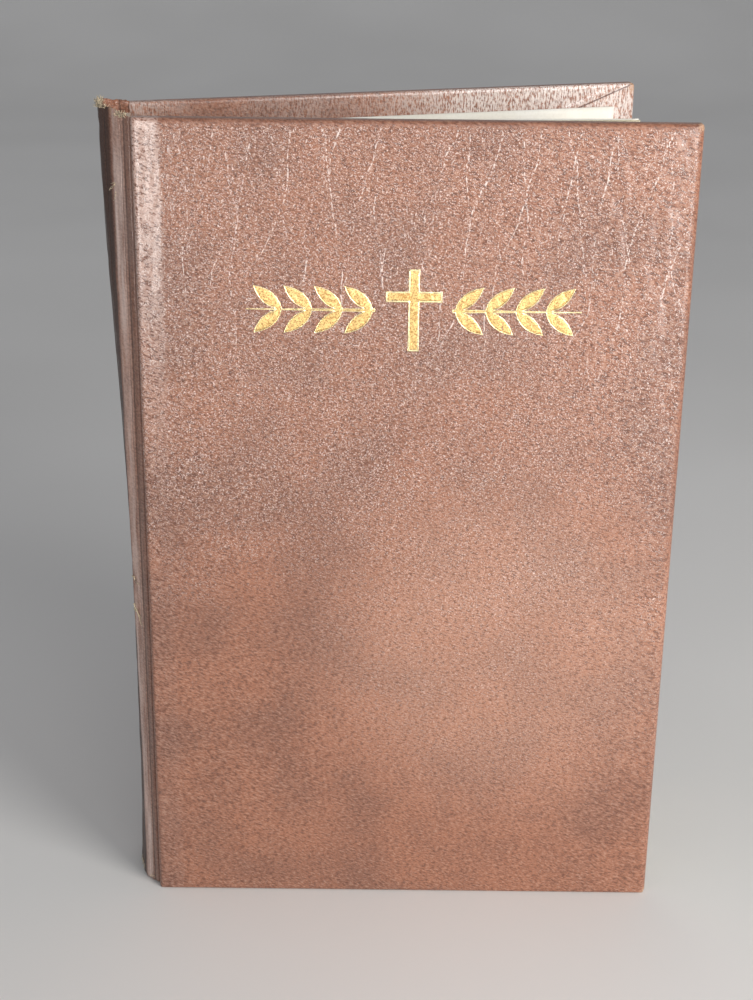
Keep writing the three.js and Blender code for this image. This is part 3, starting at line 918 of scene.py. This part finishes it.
def spine_wear(s, z):
    """Rubbing at the ends of the spine and along its two ridges, 0 to 1."""
    ends = smooth(7, 0.2, np.minimum(z - SKIN_LOW, SKIN_HIGH - z))
    ridge = np.maximum(*[np.exp(-((s - RIDGE[side]) / 0.5) ** 2) for side in SIDES])
    spots = planar_noise(s, z, 3.0, 76, 3, stretch=2.5)
    return np.clip(0.30 * ends + ridge * (0.22 + 0.5 * spots) + 0.14 * spots, 0, 1)


def line_point(s):
    """The world place half way up the spine line, at a length along it."""
    x, y = LINE.place(np.array([s]))[0] * MM
    return (x, y, HEIGHT * MM / 2)


def spine_pieces():
    """The spine's leather and the card behind it."""
    centre = spine_sheet("spine_skin", SPINE_CUT["front"], SPINE_CUT["back"])
    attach(centre, "spine")
    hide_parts("spine_leather")
    card = spine_sheet("spine_card", RIDGE["front"] + INWARD["front"], RIDGE["back"] + INWARD["back"],
                       (-0.38, -0.98), CARD, "spine_card", (SKIN_LOW + 1.2, SKIN_HIGH - 2.4))
    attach(card, "spine")
    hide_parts("spine_inlay")


def joint_pieces(side):
    """A joint's leather, bending at its ridge and at the board's edge, its paper, and its turned-in ends."""
    toward, ridge_at, fold_at = INWARD[side], RIDGE[side], FOLD_AT[side]
    ridge = spine_sheet(side + "_ridge_skin", SPINE_CUT[side], MID_JOINT[side])
    line_point(ridge_at + toward * 1.6)
    line_point(ridge_at - toward * 1.6)
    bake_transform(ridge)
    fold = spine_sheet(side + "_fold_skin", MID_JOINT[side], 0.0 if side == "front" else LINE.length)
    line_point(fold_at + toward * 1.5)
    line_point(fold_at - toward * 0.5)
    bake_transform(fold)
    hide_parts(side + "_joint_leather")
    hinge = spine_sheet(side + "_hinge_paper", ridge_at - toward * 0.4, fold_at + toward * 0.6,
                        (-0.46, -0.58), ENDPAPER, "endpaper", (LEAF_Z[0] + 3, LEAF_Z[1] - 3))
    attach(hinge, side + "_joint")
    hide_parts(side + "_joint_gauze")
    for end, z_range in (("head", (HEIGHT - TURN_IN, SKIN_HIGH - 0.5)), ("tail", (SKIN_LOW + 0.5, TURN_IN))):
        flap = spine_sheet(side + "_joint_turn_in_" + end, ridge_at - toward * 0.4, fold_at + toward * 0.3,
                           (-0.32, -0.44), z_range=z_range)
        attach(flap, side + "_joint")


spine_pieces()
for joint_side in SIDES:
    joint_pieces(joint_side)


# ---------------------------------------------------------------- leaves


def leaf_wave(x, z):
    """The gentle cockling that all the leaves share."""
    return 0.08 * planar_noise(x, z, 46, 91, 2) * smooth(8, 45, x)


class Leaf(Plan):
    """A section's or flyleaf's own frame, taken from its CAD node: its reach along x, and its two sides."""

    def __init__(self, node):
        super().__init__((0.0, 0.0), angle_of(node), 1)
        self.x, self.o, _ = self.local(node)
        self.x0, self.x1 = self.x.min(), self.x.max()

    def sides(self, x):
        """The node's two sides at each x."""
        keys = np.unique(np.round(self.x, 1))
        near = [self.o[np.abs(self.x - key) < 0.3] for key in keys]
        return np.interp(x, keys, [o.min() for o in near]), np.interp(x, keys, [o.max() for o in near])


def leaf_plate(leaf, x_end, z_ends, shares):
    """A few leaves lying together, as a thin closed plate between two shares of the section's thickness."""
    start = leaf.x0 + 0.35
    u = np.linspace(0, 1, 16) ** 0.8
    x, z = np.meshgrid(start + u * (x_end - start), np.linspace(*z_ends, 22), indexing="ij")
    low, high = leaf.sides(x)
    wave = leaf_wave(x - leaf.x0, z)
    return closed_sheet(*[
        leaf.world(np.stack([x, low + (high - low) * share + wave, z], -1)) for share in shares])


def section_leaves(number, count):
    """A section, as plates of leaves whose cut edges are not quite in line."""
    node = "page_section_%02d" % number
    leaf = Leaf(node)
    draw = random.Random(number)
    plates = []
    for k in range(count):
        shares = (k + 0.06) / count, (k + 0.94 - 0.25 * draw.random()) / count
        x_end = leaf.x1 - 0.35 * draw.random()
        z_ends = LEAF_Z[0] + 0.2 * draw.random(), LEAF_Z[1] - 0.3 * draw.random()
        plates.append(leaf_plate(leaf, x_end, z_ends, shares))
    piece = new_piece("leaves_%02d" % number, *joined(plates), LEAVES, "leaves")
    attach(piece, "section_%02d" % number)
    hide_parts(node)


def flyleaf(side, seed):
    """A flyleaf: a single thin sheet, hardly cockled, lying close to the outermost section."""
    node = side + "_flyleaf"
    leaf = Leaf(node)
    x, z = np.meshgrid(np.linspace(leaf.x0, leaf.x1, 60), np.linspace(*LEAF_Z, 84), indexing="ij")
    low, high = leaf.sides(x)
    reach = x - leaf.x0
    curl = 0.01 * smooth(60, 130, reach) * smooth(-20, 60, z - 140)
    curl = curl + 0.012 * planar_noise(x, z, 28, seed, 2) * smooth(4, 30, reach)
    o = (low + high) / 2 + 0.3 * leaf_wave(reach, z) + SIDES[side].out * (curl - 0.05)
    sheets = [leaf.world(np.stack([x, o + t, z], -1)) for t in (-0.06, 0.06)]
    piece = new_piece(node + "_paper", *closed_sheet(*sheets), ENDPAPER, "endpaper")
    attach(piece, node)
    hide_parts(node)


for section_number in range(1, 13):
    section_leaves(section_number, 9)
flyleaf("front", 92)
flyleaf("back", 93)


def pastedown(side, seed):
    """The paper pasted inside a cover: a little cockled, its edge lying over the turn-ins."""
    node = side + "_pastedown"
    at_x, at_o, at_z = SIDES[side].local(node)
    x0, x1, z0, z1 = at_x.min(), at_x.max(), at_z.min(), at_z.max()
    x, z = np.meshgrid(np.linspace(x0, x1, 90), np.linspace(z0, z1, 140), indexing="ij")
    near = np.minimum(np.minimum(x1 - x, z - z0), z1 - z)
    ghost = 0.05 * smooth(8.6, 9.6, near)
    cockle = 0.03 * planar_noise(x, z, 13, seed, 3) * smooth(0, 6, near)
    upper = np.stack([x, at_o.min() + ghost + cockle + 0.05, z], -1)
    points, faces = closed_sheet(upper, np.stack([x, 0 * x + at_o.max(), z], -1))
    piece = new_piece(node + "_paper", SIDES[side].world(points), faces, ENDPAPER, "endpaper")
    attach(piece, side + "_cover")
    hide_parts(node)


pastedown("front", 95)
pastedown("back", 96)


# ---------------------------------------------------------------- gold stamping


def cap_loops(node):
    """The outline of a stamped node, as loops of (x, z) in the front cover's own plan, in millimetres."""
    work = bmesh.new()
    work.from_mesh(NODES[node].data)
    bmesh.ops.remove_doubles(work, verts=work.verts, dist=1e-6)
    cap = {f for f in work.faces if f.normal.y < -0.9}
    pending = dict.fromkeys(e for e in work.edges if sum(f in cap for f in e.link_faces) == 1)
    loops = []
    while pending:
        edge = pending.popitem()[0]
        loop = [edge.verts[0], edge.verts[1]]
        while True:
            onward = [e for e in loop[-1].link_edges if e in pending]
            if not onward:
                break
            del pending[onward[0]]
            loop.append(onward[0].other_vert(loop[-1]))
        if loop[0] is loop[-1]:
            loop.pop()
        loops.append(np.array([(v.co.x / MM - FOLD.x / MM, v.co.z / MM) for v in loop]))
    work.free()
    return [loop if loop_area(loop) > 0 else loop[::-1] for loop in loops]


def loop_area(loop):
    """The area inside a loop, positive where it runs anticlockwise."""
    nxt = np.roll(loop, -1, 0)
    return 0.5 * np.sum(loop[:, 0] * nxt[:, 1] - nxt[:, 0] * loop[:, 1])


def resampled(loop, step):
    """The same loop with points about this far apart."""
    out = []
    for a, b in zip(loop, np.roll(loop, -1, 0)):
        count = max(1, int(round(np.linalg.norm(b - a) / step)))
        out += [a + (b - a) * k / count for k in range(count)]
    return np.array(out)


def inset_loop(loop, distance):
    """The loop moved inwards, each corner by no more than twice the distance."""
    before, after = loop - np.roll(loop, 1, 0), np.roll(loop, -1, 0) - loop
    n1 = np.stack([-before[:, 1], before[:, 0]], 1) / np.linalg.norm(before, axis=1)[:, None]
    n2 = np.stack([-after[:, 1], after[:, 0]], 1) / np.linalg.norm(after, axis=1)[:, None]
    middle = n1 + n2
    length = np.linalg.norm(middle, axis=1)
    middle = middle / np.maximum(length, 1e-6)[:, None]
    reach = distance / np.clip((middle * n1).sum(1), 0.5, 1)
    return loop + middle * reach[:, None]


def on_leather(xz, lift):
    """World points lying on the front cover's leather, lifted by so many millimetres."""
    o = OUTSIDE + cover_height(xz[:, 0], xz[:, 1], FRONT_SEED) + lift
    return FRONT.world(np.stack([xz[:, 0], o, xz[:, 1]], 1))


def inside_loop(points, loop):
    """Which points lie inside a loop."""
    x, y = points[:, 0], points[:, 1]
    inside = np.zeros(len(points), bool)
    for (x1, y1), (x2, y2) in zip(loop, np.roll(loop, -1, 0)):
        crosses = (y1 > y) != (y2 > y)
        at = x1 + (y - y1) * (x2 - x1) / (y2 - y1 if y2 != y1 else 1e-9)
        inside ^= crosses & (x < at)
    return inside


def gold_fill(loop, step):
    """A closed flake of foil over the inside of a loop, following the grain beneath it."""
    low, high = loop.min(0), loop.max(0)
    gx, gz = np.meshgrid(np.arange(low[0], high[0], step), np.arange(low[1], high[1], step), indexing="ij")
    grid = np.stack([gx.ravel(), gz.ravel()], 1)
    grid = grid[inside_loop(grid, loop)]
    far = np.min(np.linalg.norm(grid[:, None] - loop[None], axis=2), axis=1) > step * 0.6
    places = [Vector(p) for p in np.concatenate([loop, grid[far]])]
    verts, _, faces, _, _, _ = delaunay_2d_cdt(places, [], [list(range(len(loop)))], 1, 1e-5)
    flat = np.array([v[:] for v in verts])
    lift = 0.05 + 0.03 * planar_noise(flat[:, 0], flat[:, 1], 0.6, 97, 2)
    count = len(flat)
    closed = [list(f) for f in faces] + [[i + count for i in reversed(f)] for f in faces]
    edges = {(a, b): None for f in faces for a, b in zip(f, list(f[1:]) + [f[0]])}
    closed += [[b, a, a + count, b + count] for a, b in edges if (b, a) not in edges]
    return np.concatenate([on_leather(flat, lift), on_leather(flat, -0.06)]), closed


def gold_outline(loop, width):
    """A raised bright line of foil just inside a loop."""
    profile = (
        (0, -0.06), (0, 0.08), (0.12, 0.15), (width - 0.12, 0.15), (width, 0.08), (width, -0.06))
    rings = []
    for depth, lift in profile:
        ring = inset_loop(loop, depth) if depth else loop
        wobble = 0.03 * planar_noise(ring[:, 0], ring[:, 1], 0.9, 98, 2)
        rings.append(on_leather(ring, lift + (wobble if lift > 0 else 0)))
    numbers = np.arange(len(loop) * len(rings)).reshape(len(rings), len(loop))
    faces = []
    for one, other in zip(numbers, np.roll(numbers, -1, 0)):
        faces += wall(one, other)
    return np.concatenate(rings), faces


def stamped(node, width):
    """A stamped ornament: worn gold inside a bright outline this wide."""
    step = 0.35
    loops = [resampled(loop, step) for loop in cap_loops(node)]
    lines = [gold_outline(loop, width) for loop in loops]
    fills = [gold_fill(inset_loop(loop, width * 0.8), step) for loop in loops]
    for label, parts, material in (("_fill", fills, GOLD_FILL), ("_outline", lines, GOLD_LINE)):
        piece = new_piece(node + label, *joined(parts), material, "gold_foil")
        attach(piece, "front_cover")
    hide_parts(node)


for stamped_node, outline in (("foil_cross", 0.5), ("foil_spray_left", 0.32), ("foil_spray_right", 0.32)):
    stamped(stamped_node, outline)


# ---------------------------------------------------------------- fraying


def tube(path, radius, around=5):
    """A fibre round a path, thinning towards its end."""
    points, faces, last = [], [], len(path) - 1
    for k, place in enumerate(path):
        ahead = (path[min(k + 1, last)] - path[max(k - 1, 0)]).normalized()
        side = ahead.orthogonal().normalized()
        up = ahead.cross(side)
        size = radius * (1.0 - 0.75 * k / last)
        for turn in np.arange(around) * math.tau / around:
            points.append(place + (side * math.cos(turn) + up * math.sin(turn)) * size)
    numbers = np.arange(len(points)).reshape(-1, around)
    for one, other in zip(numbers, numbers[1:]):
        faces += wall(one, other)
    faces += [numbers[0].tolist(), numbers[-1].tolist()]
    return np.array([p[:] for p in points]), faces


def strand(start, direction, length, radius, draw, steps=7):
    """A loose curling fibre."""
    path, heading = [Vector(start)], Vector(direction).normalized()
    for _ in range(steps):
        turn = Vector((draw.uniform(-1, 1), draw.uniform(-1, 1), draw.uniform(-1, 1))) * 0.42
        heading = (heading + turn).normalized()
        path.append(path[-1] + heading * length / steps)
    return tube(path, radius)


def lying_thread(z_from, z_to, seed):
    """A loose thread lying across the front joint, from its ridge down towards the board."""
    draw = random.Random(seed)
    share = np.linspace(0, 1, 14)
    wriggle = np.array([draw.uniform(-0.3, 0.3) for _ in share])
    s = RIDGE["front"] - INWARD["front"] * (0.1 + 3.0 * share + wriggle)
    z = z_from + (z_to - z_from) * share + wriggle[::-1]
    places = spine_points(s, z, 0 * s + 0.56) * MM
    return tube([Vector(place) for place in places], 0.24 * MM)


def tuft(s_range, z_range, count, up, seed, lengths):
    """Fibres standing from the worn edge of the leather, between two places along the line."""
    draw = random.Random(seed)
    parts = []
    for _ in range(count):
        s = np.array([draw.uniform(*s_range)])
        z = np.array([draw.uniform(*z_range)])
        root = spine_points(s, z, np.array([draw.uniform(-0.2, 0.3)]))[0] * MM
        normal = LINE.normal(s)[0]
        spread = draw.uniform(-0.5, 0.9)
        heading = Vector((normal[0] * spread, normal[1] * spread, up * draw.uniform(0.3, 1.0)))
        length, radius = draw.uniform(*lengths) * MM, draw.uniform(0.06, 0.15) * MM
        parts.append(strand(root, heading, length, radius, draw))
    return parts


def fraying():
    """Canvas fibres standing out where the leather has worn through: at its ends and between them."""
    head, tail = SKIN_HIGH, SKIN_LOW + 1.0
    near, far = RIDGE["front"] + INWARD["front"] * 1.5, RIDGE["back"] - INWARD["front"] * 1.0
    middle, joint = (near + far) / 2, MID_JOINT["front"]
    edge = RIDGE["front"] - INWARD["front"] * 0.4
    on_spine = [
        tuft((far - 4.5, far), (head + 0.7, head + 1.5), 90, 1, 201, (0.7, 1.9)),
        tuft((near, near + 3.0), (head + 0.6, head + 1.3), 60, 1, 205, (0.6, 1.6)),
        tuft((middle - 3, middle + 3), (head + 0.9, head + 1.4), 30, 1, 206, (0.4, 1.0)),
        tuft((near, near + 8.0), (tail, tail + 1), 40, -1, 202, (0.6, 1.4)),
    ]
    on_joint = [
        tuft((joint - 2.2, joint + 1.6), (head - 0.7, head + 0.2), 90, 1, 203, (0.5, 1.3)),
        tuft((joint - 0.8, joint + 0.8), (tail, tail + 0.8), 36, -1, 204, (0.5, 1.1)),
        tuft((edge - 0.3, edge + 0.3), (196.0, 199.5), 9, -1, 207, (1.6, 3.2)),
        [lying_thread(94.4, 92.0, 210), lying_thread(86.0, 80.2, 211), lying_thread(84.6, 82.6, 212)],
    ]
    for name, body, groups in (("spine", "spine", on_spine), ("joint", "front_joint", on_joint)):
        parts = [part for group in groups for part in group]
        piece = new_piece(name + "_fraying", *joined(parts), FIBRE, "band_cloth")
        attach(piece, body)


fraying()


# ---------------------------------------------------------------- carried-over nodes


def dress(node, material):
    """A CAD node that shows as it is, in its own material."""
    mesh = NODES[node].data
    mesh.materials.clear()
    mesh.materials.append(material)


dress("spine_lining", CARD)
dress("spine_gauze", MULL)
dress("headband", SILK)
dress("tailband", SILK)


# ---------------------------------------------------------------- floor, light and camera


def floor_material():
    """Plain pale paper."""
    m = Nodes("pale_floor")
    place = m.object_mm()
    speck = m.noise(place, 2.0, detail=4)
    cloud = m.noise(place, 260, detail=2)
    base = m.mix(m.ramp(cloud, 0.3, 0.7), colour(0.74, 0.73, 0.71), colour(0.80, 0.79, 0.77))
    m.set(Base_Color=base, Roughness=m.ramp(speck, 0.3, 0.7, 0.5, 0.6))
    return m.material


def floor():
    """A pale sweep: flat under the book, then curving up far behind it."""
    radius, flat_to, width = 1.0, 1.2, 3.0
    profile = [(-2.5, 0.0)]
    for turn in np.linspace(0, math.pi / 2, 25):
        profile.append((flat_to + radius * math.sin(turn), radius * (1 - math.cos(turn))))
    profile.append((flat_to + radius, 3.0))
    mesh = bpy.data.meshes.new("floor")
    points = [(x, y, z) for y, z in profile for x in (-width, width)]
    faces = [[2 * k, 2 * k + 1, 2 * k + 3, 2 * k + 2] for k in range(len(profile) - 1)]
    mesh.from_pydata(points, [], faces)
    for polygon in mesh.polygons:
        polygon.use_smooth = True
    mesh.materials.append(floor_material())
    added("floor", mesh)


def area_light(name, place, target, size, power, tall=None, sheen_only=False):
    """A soft lamp that the camera does not see; round, unless it is given a height of its own."""
    data = bpy.data.lights.new(name, "AREA")
    data.shape = "ELLIPSE" if tall is None else "RECTANGLE"
    data.size, data.size_y, data.energy, data.color = size, tall or size, power, (1.0, 0.98, 0.955)
    light = added(name, data)
    light.location = place
    light.rotation_euler = (Vector(target) - Vector(place)).to_track_quat("-Z", "Y").to_euler()
    light.visible_camera = False
    light.visible_diffuse = not sheen_only


def lights():
    """A soft key from the upper right, a wide front fill, and low soft boxes that only the gloss picks up."""
    middle = (0.0, 0.0, 0.12)
    area_light("key", (0.50, -0.52, 0.34), middle, 0.40, 4.7)
    area_light("front", (0.20, -1.25, 0.45), middle, 0.9, 4)
    area_light("sheen_left", (-0.155, -0.30, 0.142), (-0.06, -0.03, 0.140), 0.045, 0.20, 0.09, True)
    area_light("sheen_right", (0.27, -0.60, 0.06), (0.07, -0.03, 0.17), 0.12, 0.9, 0.25, True)
    world = bpy.data.worlds.new("studio")
    world.use_nodes = True
    background = world.node_tree.nodes["Background"]
    background.inputs["Color"].default_value = (0.93, 0.95, 1.0, 1)
    background.inputs["Strength"].default_value = 0.36
    bpy.context.scene.world = world


CAMERA_FROM_CORNER = Vector((0.05937, -0.42924, 0.29275))
PITCH, ROLL, LENS = 0.3845, 0.0124, 64.8


def camera():
    """Stands before the front cover, looking down on it a little, and tilted a very little."""
    data = bpy.data.cameras.new("camera")
    data.lens, data.sensor_width, data.sensor_fit = LENS, 36.0, "AUTO"
    data.clip_start = 0.01
    piece = added("camera", data)
    piece.location = Vector(FRONT.world([0.9, OUTSIDE, 0.0])) + CAMERA_FROM_CORNER
    turn = Matrix.Rotation(math.pi / 2 - PITCH, 4, "X") @ Matrix.Rotation(ROLL, 4, "Z")
    piece.rotation_euler = turn.to_euler()
    bpy.context.scene.camera = piece


floor()
lights()
camera()
bpy.context.scene.view_settings.view_transform = "Standard"
